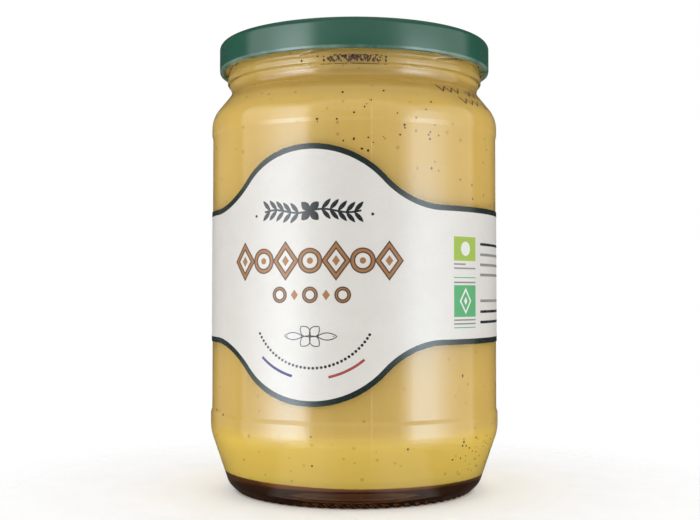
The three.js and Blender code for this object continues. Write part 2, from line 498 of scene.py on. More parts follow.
def height_effect():
    """1 between two heights of the object, in metres, fading over Softness past each."""
    tree, given, taken = new_effect("Height band", {"Low": 0.0, "High": 0.1, "Softness": 0.001}, ["Mask"])
    place = add_node(tree, "ShaderNodeTexCoord").outputs["Object"]
    height = add_node(tree, "ShaderNodeSeparateXYZ", {0: place}).outputs["Z"]
    above = arithmetic(tree, "SUBTRACT", height, given["Low"])
    below = arithmetic(tree, "SUBTRACT", given["High"], height)
    inside = arithmetic(tree, "DIVIDE", arithmetic(tree, "MINIMUM", above, below), given["Softness"])
    mask = arithmetic(tree, "ADD", inside, 1.0, clamp=True)
    tree.links.new(mask, taken["Mask"])
    return tree


GRAIN = grain_effect()
FLECKS = fleck_effect()
HEIGHT_BAND = height_effect()


def effect(tree, group, **values):
    """One use of a shared effect, with its own values."""
    node = tree.nodes.new("ShaderNodeGroup")
    node.node_tree = group
    for socket, value in values.items():
        node.inputs[socket].default_value = value
    return node.outputs


def new_material(name):
    """An empty material with its node tree and output node."""
    material = bpy.data.materials.new(name)
    material.use_nodes = True
    material.node_tree.nodes.clear()
    return material, material.node_tree, material.node_tree.nodes.new("ShaderNodeOutputMaterial")


def bump(tree, height, distance, strength=1.0):
    """A normal from a height that stands up to a distance in millimetres."""
    return add_node(tree, "ShaderNodeBump", {
        "Height": height, "Strength": strength, "Distance": distance * MILLIMETRE}).outputs[0]


def finished(tree, output, shader):
    tree.links.new(shader, output.inputs["Surface"])


# Materials


def clear_glass():
    """Moulded soda-lime glass, faintly wavy, that lets the lamps through to what it holds."""
    material, tree, output = new_material("clear_glass")
    waves = effect(tree, GRAIN, Scale=45.0, Stretch=3.0)
    smears = effect(tree, GRAIN, Scale=160.0, Stretch=1.0)
    glass = add_node(tree, "ShaderNodeBsdfPrincipled", {
        "Base Color": (0.965, 0.985, 0.97, 1.0),
        "Roughness": ranged(tree, smears["Shade"], 0.4, 1.0, 0.0, 0.05),
        "IOR": 1.52,
        "Transmission Weight": 1.0,
        "Normal": bump(tree, waves["Height"], 0.12, 0.4),
    })
    rays = add_node(tree, "ShaderNodeLightPath")
    open_to_lamps = add_node(tree, "ShaderNodeBsdfTransparent", {"Color": (0.93, 0.95, 0.93, 1.0)})
    mix = add_node(tree, "ShaderNodeMixShader", {
        0: rays.outputs["Is Shadow Ray"], 1: glass.outputs[0], 2: open_to_lamps.outputs[0]})
    finished(tree, output, mix.outputs[0])
    return material


class UndersideShade:
    """Painted shade on the underside of the mustard, that shows through the foot. Lengths are metres."""
    lean = 4.3
    lean_limit = 0.01
    raggedness = 0.02
    level = (-0.805, -0.77)
    heart_bend = 60.0
    heart_half_depth = (0.0065, 0.0085)
    heart_radius = (0.014, 0.018)
    front = (0.0255, 0.0285)


def underside_shade_colour(tree, place):
    """Painted shade in dark brown, with painted light as a pale bent heart under the middle and as a paler
    edge toward the camera.
    """
    ahead = along_way(tree, place, TO_CAMERA)
    beside = along_way(tree, place, TO_RIGHT)
    flat = vector_arithmetic(tree, "MULTIPLY", place, (1.0, 1.0, 0.0))[0]
    radius = vector_arithmetic(tree, "LENGTH", flat)["Value"]
    bent = arithmetic(tree, "MULTIPLY_ADD", arithmetic(tree, "POWER", beside, 2.0), UndersideShade.heart_bend, ahead)
    heart = arithmetic(tree, "MULTIPLY",
                       ranged(tree, arithmetic(tree, "ABSOLUTE", bent), *UndersideShade.heart_half_depth, 1.0, 0.0),
                       ranged(tree, radius, *UndersideShade.heart_radius, 1.0, 0.0))
    shaded_underside = mixed(tree, heart, rgb(110, 66, 33), rgb(255, 165, 84))
    return mixed(tree, ranged(tree, ahead, *UndersideShade.front, 0.0, 1.0), shaded_underside, rgb(150, 88, 44))


def mustard_paste():
    """Ochre paste, a little streaked, with fine husk; painted light on the taper, painted shade in the neck,
    and painted shade on the underside that the foot shows.
    """
    material, tree, output = new_material("mustard_paste")
    clouds = effect(tree, GRAIN, Scale=28.0, Stretch=2.5)
    streaks = effect(tree, GRAIN, Scale=420.0, Stretch=26.0)
    husk = effect(tree, FLECKS, Scale=700.0, Size=0.34, Share=0.05)
    # Painted light: the taper low down is painted lighter and yellower, as if lit from below.
    taper = effect(tree, HEIGHT_BAND, Low=-0.01, High=0.0185, Softness=0.004)
    # Painted shade: the concave neck under the beads is painted darker.
    neck = effect(tree, HEIGHT_BAND, Low=0.1208, High=0.126, Softness=0.0015)
    body = mixed(tree, clouds["Shade"], rgb(228, 194, 107), rgb(233, 199, 113))
    for mask, share, colour in (
        (streaks["Shade"], 0.22, rgb(220, 184, 100)),
        (taper["Mask"], 0.8, rgb(252, 220, 106)),
        (neck["Mask"], 0.7, rgb(210, 174, 92)),
        (husk["Mask"], 0.3, rgb(130, 92, 38)),
    ):
        body = tinted(tree, body, mask, share, colour)
    place = add_node(tree, "ShaderNodeTexCoord").outputs
    # Painted shade: the paste is painted dark where its normal faces down, the edge leaning with X and
    # ragged with the streaks.
    facing = add_node(tree, "ShaderNodeSeparateXYZ", {0: place["Normal"]}).outputs["Z"]
    aside = add_node(tree, "ShaderNodeSeparateXYZ", {0: place["Object"]}).outputs["X"]
    lean = arithmetic(tree, "MULTIPLY", arithmetic(tree, "MINIMUM", aside, UndersideShade.lean_limit), UndersideShade.lean)
    ragged = arithmetic(tree, "MULTIPLY_ADD", streaks["Shade"], UndersideShade.raggedness, lean)
    under = ranged(tree, arithmetic(tree, "ADD", facing, ragged), *UndersideShade.level, 1.0, 0.0)
    paste = add_node(tree, "ShaderNodeBsdfPrincipled", {
        "Base Color": mixed(tree, under, body, underside_shade_colour(tree, place["Object"])),
        "Specular IOR Level": 0.0,
        "Roughness": ranged(tree, clouds["Shade"], 0.0, 1.0, 0.5, 0.62),
        "Normal": bump(tree, streaks["Height"], 0.05, 0.3),
    })
    finished(tree, output, paste.outputs[0])
    return material


def grained_coat(name, scale, first, second, roughness, sockets=None):
    """A plain finish of two near colours, clouded by grain of one scale."""
    material, tree, output = new_material(name)
    shade = effect(tree, GRAIN, Scale=scale, Stretch=1.0)["Shade"]
    coat = add_node(tree, "ShaderNodeBsdfPrincipled", {
        "Base Color": mixed(tree, shade, rgb(*first), rgb(*second)),
        "Roughness": ranged(tree, shade, 0.0, 1.0, *roughness),
        **(sockets or {}),
    })
    finished(tree, output, coat.outputs[0])
    return material


def husk_bits():
    """Brown bits of seed husk, pressed against the glass so that they have no shine of their own."""
    shineless = {"Specular IOR Level": 0.0}
    return grained_coat("husk_bits", 900.0, (50, 20, 2), (92, 46, 6), (0.5, 0.7), shineless)


def lid_lacquer():
    """Satin dark green lacquer over pressed sheet, paler along the bead, partly from wear and partly as a
    painted highlight.
    """
    material, tree, output = new_material("lid_lacquer")
    peel = effect(tree, GRAIN, Scale=900.0, Stretch=1.0)
    clouds = effect(tree, GRAIN, Scale=60.0, Stretch=1.0)
    dust = effect(tree, FLECKS, Scale=500.0, Size=0.22, Share=0.03)
    bead = effect(tree, HEIGHT_BAND, Low=0.1306, High=0.1317, Softness=0.0003)
    coat = mixed(tree, clouds["Shade"], rgb(37, 89, 71), rgb(43, 95, 77))
    coat = tinted(tree, coat, dust["Mask"], 0.25, rgb(150, 165, 155))
    # The bead is painted paler, partly as wear and partly as a painted highlight along its rounding.
    worn_and_highlit = arithmetic(tree, "MULTIPLY", clouds["Shade"], 0.9)
    coat = tinted(tree, coat, bead["Mask"], worn_and_highlit, rgb(140, 165, 150))
    lacquer = add_node(tree, "ShaderNodeBsdfPrincipled", {
        "Base Color": coat,
        "Roughness": ranged(tree, clouds["Shade"], 0.0, 1.0, 0.17, 0.22),
        "Normal": bump(tree, peel["Height"], 0.02, 0.2),
    })
    finished(tree, output, lacquer.outputs[0])
    return material


def lid_lining():
    """Pale lacquer on the inside of the lid."""
    return grained_coat("lid_lining", 120.0, (205, 210, 196), (222, 224, 212), (0.35, 0.45))


def printed_paper(name, colour, second, roughness):
    """Paper or ink on it: the paper's fine tooth, faint clouds and a few fibres show through."""
    material, tree, output = new_material(name)
    tooth = effect(tree, GRAIN, Scale=1500.0, Stretch=1.0)
    clouds = effect(tree, GRAIN, Scale=140.0, Stretch=1.0)
    fibres = effect(tree, FLECKS, Scale=900.0, Size=0.3, Share=0.04)
    shade = colour
    for mask, share in ((clouds["Shade"], 0.6), (tooth["Shade"], 0.35), (fibres["Mask"], 0.25)):
        shade = tinted(tree, shade, mask, share, second)
    sheet = add_node(tree, "ShaderNodeBsdfPrincipled", {
        "Base Color": shade,
        "Roughness": ranged(tree, tooth["Shade"], 0.0, 1.0, roughness - 0.08, roughness),
        "Normal": bump(tree, tooth["Height"], 0.03, 0.35),
    })
    finished(tree, output, sheet.outputs[0])
    return material


class Floor:
    """Sizes of the table top, in metres, and how far it is dulled in reflections. A turn is the sine of an
    angle from the camera's line."""
    ring_radii = (0.0, 0.1, 0.3, 0.9, 2.4)
    columns = 96
    drop = 0.00005
    # Painted shadow under the jar: fully dark inside the first radius, gone by the second.
    contact = (0.035, 0.0385)
    fade = (0.055, 0.13)
    glow = 0.25
    close = (0.0395, 0.0415)
    front_turn = (0.1, 0.3)
    front_dulled = (0.8, 0.1)
    side_turn = (0.6, 0.7)
    dulled = 0.96


def dulled_floor(tree, place, away):
    """How far the floor is dulled in reflections: before the jar, at its sides and close to its foot."""
    turned = arithmetic(tree, "ABSOLUTE", arithmetic(tree, "DIVIDE", along_way(tree, place, TO_RIGHT), away))
    front = ranged(tree, turned, *Floor.front_turn, *Floor.front_dulled)
    sides = ranged(tree, turned, *Floor.side_turn, 0.0, Floor.dulled)
    close = ranged(tree, away, *Floor.close, Floor.dulled, 0.0)
    dulled = arithmetic(tree, "MAXIMUM", arithmetic(tree, "MAXIMUM", front, sides), close)
    rays = add_node(tree, "ShaderNodeLightPath").outputs
    return arithmetic(tree, "MULTIPLY", mirrored_rays(tree, rays), dulled)


def pale_floor():
    """A matt pale table top that glows faintly, with a painted shadow under the jar, and that fades into the
    backdrop away from it.
    """
    material, tree, output = new_material("pale_floor")
    tooth = effect(tree, GRAIN, Scale=60.0, Stretch=1.0)
    place = add_node(tree, "ShaderNodeTexCoord").outputs["Object"]
    away = vector_arithmetic(tree, "LENGTH", place)["Value"]
    shade = mixed(tree, tooth["Shade"], (0.86, 0.86, 0.86, 1.0), (0.9, 0.9, 0.9, 1.0))
    # Painted shadow: the floor is painted dark under and just round the jar's foot.
    shade = mixed(tree, ranged(tree, away, *Floor.contact, 1.0, 0.0), shade, (0.08, 0.07, 0.06, 1.0))
    shade = mixed(tree, dulled_floor(tree, place, away), shade, (0.01, 0.01, 0.01, 1.0))
    top = add_node(tree, "ShaderNodeBsdfPrincipled", {
        "Base Color": shade,
        "Roughness": ranged(tree, tooth["Shade"], 0.0, 1.0, 0.75, 0.85),
        "Emission Color": shade,
        "Emission Strength": Floor.glow,
    })
    clear = add_node(tree, "ShaderNodeBsdfTransparent")
    mix = add_node(tree, "ShaderNodeMixShader", {
        0: ranged(tree, away, *Floor.fade, 0.0, 1.0), 1: top.outputs[0], 2: clear.outputs[0]})
    finished(tree, output, mix.outputs[0])
    return material


# Glass jar

TAPER = ((Jar.heel_radius, Jar.heel_height), (Jar.lower_ring_radius, Jar.taper_top))
SHOULDER = ((Jar.upper_ring_radius, Jar.shoulder_base), (Jar.neck_radius, Jar.neck_height))


def inner_cone(cone):
    """The lower corner of a cone that is moved in by the wall, and the cone's slope."""
    (low_radius, low_height), (high_radius, high_height) = cone
    slope = (high_radius - low_radius) / (high_height - low_height)
    return low_radius - Jar.wall * math.hypot(slope, 1), low_height, slope


def hollow(top, inset):
    """Corners of the hollow from the mouth down to the middle of the floor."""
    taper_radius, taper_height, taper_slope = inner_cone(TAPER)
    shoulder_radius, shoulder_height, shoulder_slope = inner_cone(SHOULDER)
    body_radius = Jar.panel_radius - Jar.wall
    mouth_opens = shoulder_height + (Jar.mouth_radius - shoulder_radius) / shoulder_slope
    shoulder_ends = shoulder_height + (body_radius - shoulder_radius) / shoulder_slope
    taper_begins = taper_height + (body_radius - taper_radius) / taper_slope
    floor_radius = taper_radius + (Jar.floor_height - taper_height) * taper_slope
    floor = Jar.floor_height + inset
    return [
        (Jar.mouth_radius - inset, top),
        (Jar.mouth_radius - inset, mouth_opens, Jar.mouth_rounding),
        (body_radius - inset, shoulder_ends, Jar.shoulder_rounding),
        (body_radius - inset, taper_begins, Jar.lower_ring_rounding),
        (floor_radius - inset, floor, Jar.floor_rounding),
        (Jar.dome_radius, floor + Jar.floor_rise, Jar.dome_rounding),
        (0.0, floor + Jar.floor_rise),
    ]


def jar_outside():
    """Corners of the outside from the middle of the foot up to the rim."""
    return [
        (0.0, Jar.punt_height),
        (Jar.dome_radius, Jar.punt_height, Jar.dome_rounding),
        (Jar.punt_radius, Jar.punt_edge_height, Jar.punt_rounding),
        (Jar.stand_inner_radius, 0.0),
        (Jar.stand_outer_radius, 0.0, Jar.stand_rounding),
        (*TAPER[0], Jar.heel_rounding),
        (*TAPER[1], Jar.lower_ring_rounding),
        (Jar.lower_ring_radius, Jar.lower_ring_top, Jar.ring_rounding),
        (Jar.panel_radius, Jar.lower_ring_top + Jar.ring_step, Jar.ring_rounding),
        (Jar.panel_radius, Jar.panel_top, Jar.ring_rounding),
        (Jar.upper_ring_radius, Jar.panel_top + Jar.ring_step, Jar.ring_rounding),
        (*SHOULDER[0], Jar.shoulder_rounding),
        (*SHOULDER[1], Jar.neck_rounding),
        (Jar.low_bead_radius, Jar.low_bead_top, Jar.low_bead_rounding),
        (Jar.groove_radius, Jar.groove_height, Jar.groove_rounding),
        (Jar.high_bead_radius, Jar.high_bead_bottom, Jar.high_bead_rounding),
        (Jar.high_bead_radius, Jar.high_bead_top, Jar.high_bead_rounding),
        (Jar.finish_radius, Jar.finish_bottom, Jar.finish_rounding),
        (Jar.finish_radius, Jar.rim_height, Jar.rim_rounding),
    ]


def jar_outline():
    """The whole outline, and the number of its first points that are outside."""
    mouth, *inside = hollow(Jar.rim_height, 0.0)
    outline = rounded_outline([*jar_outside(), (*mouth, Jar.rim_rounding), *inside])
    outline = finer(outline, -SLACK, Knurl.top, Knurl.row_spacing)
    outline = finer(outline, Thread.lowest, Thread.highest, Thread.row_spacing)
    return outline, int(np.argmax(outline[:, 1])) + 1


def thread_lift(angles, heights):
    """How far the thread ridges stand off the finish."""
    lift = np.zeros((len(heights), len(angles)))
    for start in range(Thread.starts):
        along = (angles - Thread.first_angle - start * TURN / Thread.starts) % TURN / Thread.span
        middle = Thread.low_end + (Thread.high_end - Thread.low_end) * along
        ends = smooth_rise(np.minimum(along, 1 - along), 0, Thread.run_out)
        off_middle = np.abs(heights[:, None] - middle[None, :])
        across = 1 - smooth_rise(off_middle, Thread.half_width_at_crest, Thread.half_width_at_root)
        lift = np.maximum(lift, (Thread.crest_radius - Jar.finish_radius) * ends[None, :] * across)
    return lift


def knurl_lift(angles, along):
    """Slanting grooves between the bars of the ring that the jar stands on."""
    wave = np.sin(angles[None, :] * Knurl.bars + along[:, None] * Knurl.slant * TURN)
    groove = smooth_rise(wave, -Knurl.flank, Knurl.flank)
    kept = smooth_rise(along, Knurl.begin, Knurl.begin + Knurl.fade)
    kept = kept * (1 - smooth_rise(along, Knurl.end - Knurl.fade, Knurl.end))
    return -Knurl.depth * groove * kept[:, None]


def seam_lift(angles, outline):
    """Fine ridges where the halves of the mould met."""
    lift = np.zeros((len(outline), len(angles)))
    for seam in Jar.seam_angles:
        off = turned_apart(angles, seam)[None, :] * outline[:, :1]
        lift += Jar.seam_height * np.exp(-(off / Jar.seam_half_width) ** 2)
    shown = (outline[:, 1] > Jar.seam_low) & (outline[:, 1] < Jar.seam_high)
    return lift * shown[:, None]


def jar_angles():
    """Even columns round the jar, with closer ones at the seams."""
    even = even_turns(Jar.columns)
    close = [seam + off for seam in Jar.seam_angles for off in Jar.seam_columns]
    return np.unique(np.round(np.concatenate([even, close]) % TURN, 6))


def make_glass_jar(material):
    outline, outside_rows = jar_outline()
    angles = jar_angles()
    lift = np.zeros((len(outline), len(angles)))
    rows = np.arange(len(outline))
    outside = rows < outside_rows
    finish = outside & (outline[:, 1] > Thread.lowest)
    lift[finish] += thread_lift(angles, outline[finish, 1])
    foot = outside & (outline[:, 0] >= Jar.stand_inner_radius - SLACK) & (outline[:, 1] < Knurl.top)
    steps = np.linalg.norm(np.diff(outline[foot], axis=0), axis=1)
    lift[foot] += knurl_lift(angles, np.concatenate([[0], np.cumsum(steps)]))
    lift[outside] += seam_lift(angles, outline[outside])
    normals = outward(outline)
    radii = outline[:, :1] + lift * normals[:, :1]
    heights = outline[:, 1:] + lift * normals[:, 1:]
    batch = Batch()
    batch.turned(angles, radii, heights)
    return dressed(batch.piece("glass_jar_moulded", [material]), "clear_glass", "glass_jar")


# Mustard


def mustard_outline():
    """The fill's outline from the middle of the floor to the middle of its top."""
    corners = hollow(Mustard.top, -Mustard.reach_into_wall)
    return rounded_outline([*corners[::-1], (0.0, Mustard.top)])


def make_mustard(material):
    outline = mustard_outline()
    batch = Batch()
    batch.turned(even_turns(Mustard.columns), outline[:, :1], outline[:, 1:])
    return dressed(batch.piece("mustard_fill", [material]), "mustard_fill", "mustard")


def lens(batch, middle, across, up, out, half_width, half_height, half_depth, sides=9):
    """A small closed bit, flat against a wall, with an edge of its own."""
    ring = [middle + across * half_width * math.cos(turn) + up * half_height * math.sin(turn)
            for turn in even_turns(sides)]
    points = [*ring, middle + out * half_depth, middle - out * half_depth]
    faces = [(side, (side + 1) % sides, sides) for side in range(sides)]
    faces += [((side + 1) % sides, side, sides + 1) for side in range(sides)]
    batch.add(points, faces)


class Husk:
    seed = 11
    everywhere = 130
    shoulder = 40
    shoulder_angles = (-8, 52)
    shoulder_heights = (96, 121)
    low_right = 40
    low_right_angles = (62, 104)
    low_right_heights = (8, 20)
    all_heights = (8, 122)
    smallest = 0.2
    largest = 0.42
    size_power = 1.6
    tallness = (0.6, 1.5)
    depth = 0.5


def make_husk(material):
    """Bits of husk against the glass, most of them at the shoulder and low down on one side."""
    draw = np.random.default_rng(Husk.seed)
    outline = mustard_outline()
    wall = outline[outline[:, 0] > 1]
    batch = Batch()
    places = []
    for count, angle_range, height_range in (
        (Husk.everywhere, (-180, 180), Husk.all_heights),
        (Husk.shoulder, Husk.shoulder_angles, Husk.shoulder_heights),
        (Husk.low_right, Husk.low_right_angles, Husk.low_right_heights),
    ):
        angles = np.radians(draw.uniform(*angle_range, count))
        places += zip(angles, draw.uniform(*height_range, count))
    for angle, height in places:
        radius = np.interp(height, wall[:, 1], wall[:, 0])
        size = Husk.smallest + (Husk.largest - Husk.smallest) * draw.uniform() ** Husk.size_power
        tall = size * draw.uniform(*Husk.tallness)
        out, across = ways(angle)
        lens(batch, out * radius + UP * height, across, UP, out, size, tall, size * Husk.depth)
    return dressed(batch.piece("husk_specks", [material]), "mustard_fill")


# Lid


def lid_panel():
    """Corners of the pressed top from its middle to the ring over the glass rim."""
    return [
        (0.0, Lid.button_height),
        (Lid.ring_inner_radius - Lid.ring_slope, Lid.panel_height, Lid.press_rounding),
        (Lid.ring_inner_radius, Lid.ring_height, Lid.press_rounding),
        (Lid.ring_outer_radius - Lid.ring_slope, Lid.ring_height, Lid.press_rounding),
        (Lid.ring_outer_radius, Lid.panel_height, Lid.press_rounding),
        (Lid.panel_radius, Lid.panel_height, Lid.press_rounding),
        (Lid.channel_inner_radius, Lid.top, Lid.press_rounding),
    ]


def lid_outline():
    """The lid's outline from the middle of its underside, round the rolled bead, to the middle on top."""
    bead_inside = Lid.radius - Lid.bead
    bead_top = Lid.bottom + Lid.bead
    under = [(radius, height - Lid.sheet, *rest) for radius, height, *rest in lid_panel()]
    return rounded_outline([
        *under,
        (Lid.radius - Lid.sheet, Lid.top - Lid.sheet, Lid.top_rounding - Lid.sheet),
        (Lid.radius - Lid.sheet, bead_top),
        (bead_inside, bead_top, Lid.bead_rounding),
        (bead_inside, Lid.bottom, Lid.bead_rounding),
        (Lid.radius - Lid.bead_lean, Lid.bottom, Lid.bead_rounding),
        (Lid.radius, Lid.bottom + Lid.bead_lean_height, Lid.bead_rounding),
        (Lid.radius, Lid.top, Lid.top_rounding),
        *lid_panel()[::-1],
    ])


def make_lid(lacquer, lining):
    outline = lid_outline()
    angles = even_turns(Lid.columns)
    lowest = int(np.argmin(outline[:, 1]))
    bead_top = Lid.bottom + Lid.bead
    inner_bead = (np.arange(len(outline)) < lowest) & (outline[:, 1] <= bead_top + SLACK)
    inward = inner_bead * smooth_rise(Lid.radius - outline[:, 0], Lid.bead * 0.5, Lid.bead)
    lugs = np.zeros(len(angles))
    for start in range(Thread.starts):
        middle = Thread.first_angle + start * TURN / Thread.starts + Lid.lug_angle
        off = turned_apart(angles, middle)
        lugs = np.maximum(lugs, 1 - smooth_rise(off, Lid.lug_span * Lid.lug_flat, Lid.lug_span / 2))
    radii = outline[:, :1] - Lid.lug_depth * inward[:, None] * lugs[None, :]
    batch = Batch()
    curl_starts = int(np.argmax(inner_bead))
    row_slots = [1 if row < curl_starts else 0 for row in range(len(outline))]
    batch.turned(angles, radii, outline[:, 1:], row_slots)
    return dressed(batch.piece("lid_pressed", [lacquer, lining]), "lid_paint", "lid")


# Paper label

CROWN_REACH = Label.crown_radius * math.sin(Label.flare)
CROWN_FALL = Label.crown_radius * (1 - math.cos(Label.flare))
FLARE_RADIUS = (Label.crown_half_height - Label.band_half_height - CROWN_FALL) / (1 - math.cos(Label.flare))
FLARE_END = CROWN_REACH + FLARE_RADIUS * math.sin(Label.flare)
LABEL_END = Label.end_angle * Label.radius


def arc_fall(radius, distance):
    """How far an arc has fallen from its top at a distance along."""
    return radius - math.sqrt(max(0.0, radius ** 2 - distance ** 2))


def label_half_height(distance):
    """Half of the label's height at a distance from its middle along the paper."""
    if distance < CROWN_REACH:
        return Label.crown_half_height - arc_fall(Label.crown_radius, distance)
    if distance < FLARE_END:
        return Label.band_half_height + arc_fall(FLARE_RADIUS, FLARE_END - distance)
    past_corner = min(max(0.0, distance - (LABEL_END - Label.end_rounding)), Label.end_rounding)
    return Label.band_half_height - arc_fall(Label.end_rounding, past_corner)


def label_columns():
    """Distances along the paper from one end to the other, closer together at the rounded ends."""
    corner = LABEL_END - Label.end_rounding
    even = np.linspace(0, corner, math.ceil(corner / (Label.column_step * Label.radius)) + 1)
    ends = corner + Label.end_rounding * np.sin(np.linspace(0, math.pi / 2, 9)[1:])
    half = np.concatenate([even, ends])
    return np.concatenate([-half[:0:-1], half])


def on_paper(along, height, lift=0.0):
    """A point on the label from its distance along the paper and its height."""
    radius = Label.radius + lift
    angle = along / Label.radius
    return (radius * math.sin(angle), -radius * math.cos(angle), height)


def upright_band(batch, columns, inner, outer):
    """A thin sheet from columns (along, low, high), between two lifts off the paper."""
    batch.sections([[on_paper(along, low, inner), on_paper(along, low, outer),
                     on_paper(along, high, outer), on_paper(along, high, inner)]
                    for along, low, high in columns])


def make_label_paper(material):
    batch = Batch()
    halves = [(along, label_half_height(abs(along))) for along in label_columns()]
    columns = [(along, Label.middle - half, Label.middle + half) for along, half in halves]
    upright_band(batch, columns, -Label.paper, 0.0)
    return dressed(batch.piece("label_paper_sheet", [material]), "label_paper", "label")


# Printing: each ink is one thin layer on the paper


def ink_band(batch, near, far, lift=Label.ink_lift, closed=True):
    """A layer of ink between two lines of as many points, which close on themselves or not."""
    low = -Label.ink_sink
    batch.sections([[on_paper(*first, low), on_paper(*first, lift),
                     on_paper(*second, lift), on_paper(*second, low)]
                    for first, second in zip(near, far)], closed)


def ink_stroke(batch, path, width, closed=False):
    """A line of even width along a path of (along, height) points."""
    path = np.asarray(path, float)
    aside = outward(path, closed) * width / 2
    ink_band(batch, path + aside, path - aside, closed=closed)


def ink_shape(batch, outline, lift=Label.ink_lift):
    """A filled shape from an outline that its own middle can see all of."""
    outline = np.asarray(outline, float)
    middle = outline.mean(axis=0)
    rings = 4
    sides = len(outline)
    points = []
    for face_lift in (lift, -Label.ink_sink):
        for ring in range(1, rings + 1):
            points += [on_paper(*(middle + (place - middle) * ring / rings), face_lift) for place in outline]
    top_middle = len(points)
    points += [on_paper(*middle, lift), on_paper(*middle, -Label.ink_sink)]
    faces = []
    for side in range(sides):
        beside = (side + 1) % sides
        for base, centre in ((0, top_middle), (rings * sides, top_middle + 1)):
            faces.append((centre, base + side, base + beside))
            for ring in range(rings - 1):
                inner, outer = base + ring * sides, base + (ring + 1) * sides
                faces.append((inner + side, outer + side, outer + beside, inner + beside))
        rim = (rings - 1) * sides
        faces.append((rim + side, rim + rings * sides + side, rim + rings * sides + beside, rim + beside))
    batch.add(points, faces)


def ink_bar(batch, left, right, low, high):
    """A filled rectangle, in columns close enough to follow the curve of the jar."""
    steps = max(2, math.ceil((right - left) / Label.ink_column) + 1)
    columns = [(along, low, high) for along in np.linspace(left, right, steps)]
    upright_band(batch, columns, -Label.ink_sink, Label.ink_lift)


def ink_rule(batch, left, right, height, half_line):
    ink_bar(batch, left, right, height - half_line, height + half_line)


def at_turns(middle, radius, turns):
    return np.stack([middle[0] + radius * np.cos(turns), middle[1] + radius * np.sin(turns)], axis=1)


def circle(middle, radius, sides=28):
    return at_turns(middle, radius, even_turns(sides))


def arc(middle, radius, start, end, steps=40):
    """Points along an arc between two directions in degrees."""
    return at_turns(middle, radius, np.radians(np.linspace(start, end, steps)))


def leaf(root, direction, length, width, sides=12):
    """An almond from its root along a direction in degrees."""
    fullness = 0.8
    share = np.linspace(0, 1, sides)
    half = width / 2 * np.sin(math.pi * share) ** fullness
    outline = np.concatenate([np.stack([share * length, half], axis=1),
                              np.stack([share * length, -half], axis=1)[-2:0:-1]])
    turn = math.radians(direction)
    cosine, sine = math.cos(turn), math.sin(turn)
    return np.asarray(root) + outline @ np.array([[cosine, sine], [-sine, cosine]])


def lozenge(middle, half_width, half_height, out=0.0, points_a_side=5):
    """A diamond moved out by a distance, its sides divided so that it can follow the curve of the jar."""
    side = math.hypot(half_width, half_height)
    wide = half_width + out * side / half_height
    tall = half_height + out * side / half_width
    tips = np.array([(wide, 0), (0, tall), (-wide, 0), (0, -tall)], float)
    outline = []
    for start, end in zip(tips, np.roll(tips, -1, axis=0)):
        outline += [start + (end - start) * step / points_a_side for step in range(points_a_side)]
    return np.asarray(middle) + np.array(outline)


def border_path():
    """The middle of the border's line, all round the label."""
    columns = label_columns()
    top = [(along, Label.middle + label_half_height(abs(along))) for along in columns]
    bottom = [(along, Label.middle - label_half_height(abs(along))) for along in columns[::-1]]
    edge = np.array(top + bottom)
    return edge + outward(edge, closed=True) * Label.border / 2


class Sprig:
    height = 84.6
    half_length = 14.6
    stem = 0.55
    wave_height = 0.5
    wave_rate = 0.43
    first_leaves = 3.4
    leaf_gap = 2.3
    leaf_lean = 48
    leaf = (3.9, 1.25)
    petal = (3.6, 2.3)
    dot_gap = 3.2
    dot_drop = 1.0
    dot_radius = 0.42


class Frieze:
    height = 70.6
    half_width = 26.3
    motifs = 7
    line = 1.5
    edge_line = 0.38
    diamond = (3.3, 4.4)
    small_diamond = (1.1, 1.5)
    ring_radius = 2.9
    bead_radius = 0.9
    low_height = 61.0
    low_pitch = 4.7
    low_ring = 1.8
    low_line = 1.1


class Blossom:
    height = 49.4
    line = 0.26
    petal = (3.8, 2.7, 16)
    heart_radius = 0.5
    leaf_start = 2.2
    leaf = (5.6, 2.0, 16)
    vein = 0.2
    vein_reach = 3.2
    dot_arc_middle = (0.3, 59.9)
    dot_arc_radius = 19.4
    dot_arc_ends = (211, 329)
    dots = 34
    dot_radius = 0.42


class Stripes:
    middle = (0.2, 61.5)
    radius = 24.0
    blue_ends = (229.5, 256.5)
    red_ends = (282.5, 309.5)
    line = 0.75


class Fields:
    left = 43.8
    right = 53.8
    square = (70.9, 77.9)
    panel = (54.6, 63.8)
    dot_radius = 2.1
    diamond = (2.0, 2.9)
    diamond_line = 0.55
    small_diamond = (0.8, 1.2)
    rules = ((69.9, 0.5), (68.7, 1.0), (53.7, 1.0), (52.6, 1.0), (64.6, 1.0))
    half_rule = 0.22
    green_rules = (66.0, 51.5)
    half_green_rule = 0.13


class Rules:
    seed = 5
    left = 56.7
    right = 84.0
    first_dark = (76.0,)
    grey = (72.9, 69.9, 66.9, 59.2)
    last_dark = (56.0, 52.9)
    shortest = 0.7
    half_line = 0.4
    far_lefts = (90.0, -118.0)
    far_length = 22.0
    far_shortest = 0.6
    far_top = 79.0
    far_pitch = 3.1
    far_rows = 9
    far_half_line = 0.35


class Table:
    left = -90.0
    right = -62.0
    top = 79.5
    pitch = 3.4
    rows = 8
    half_line = 0.1
    margin = 0.8
    longest_entry = 11.0
    shortest_entry = 0.6
    figure = 4.7
    entry_low = 1.2
    entry_high = 1.9


PETAL_TURNS = (45, 135, 225, 315)


def print_border(batch):
    ink_stroke(batch, border_path(), Label.border, closed=True)


def stem_height(along):
    """The sprig's stem waves a little."""
    return Sprig.height + Sprig.wave_height * np.sin(along * Sprig.wave_rate)


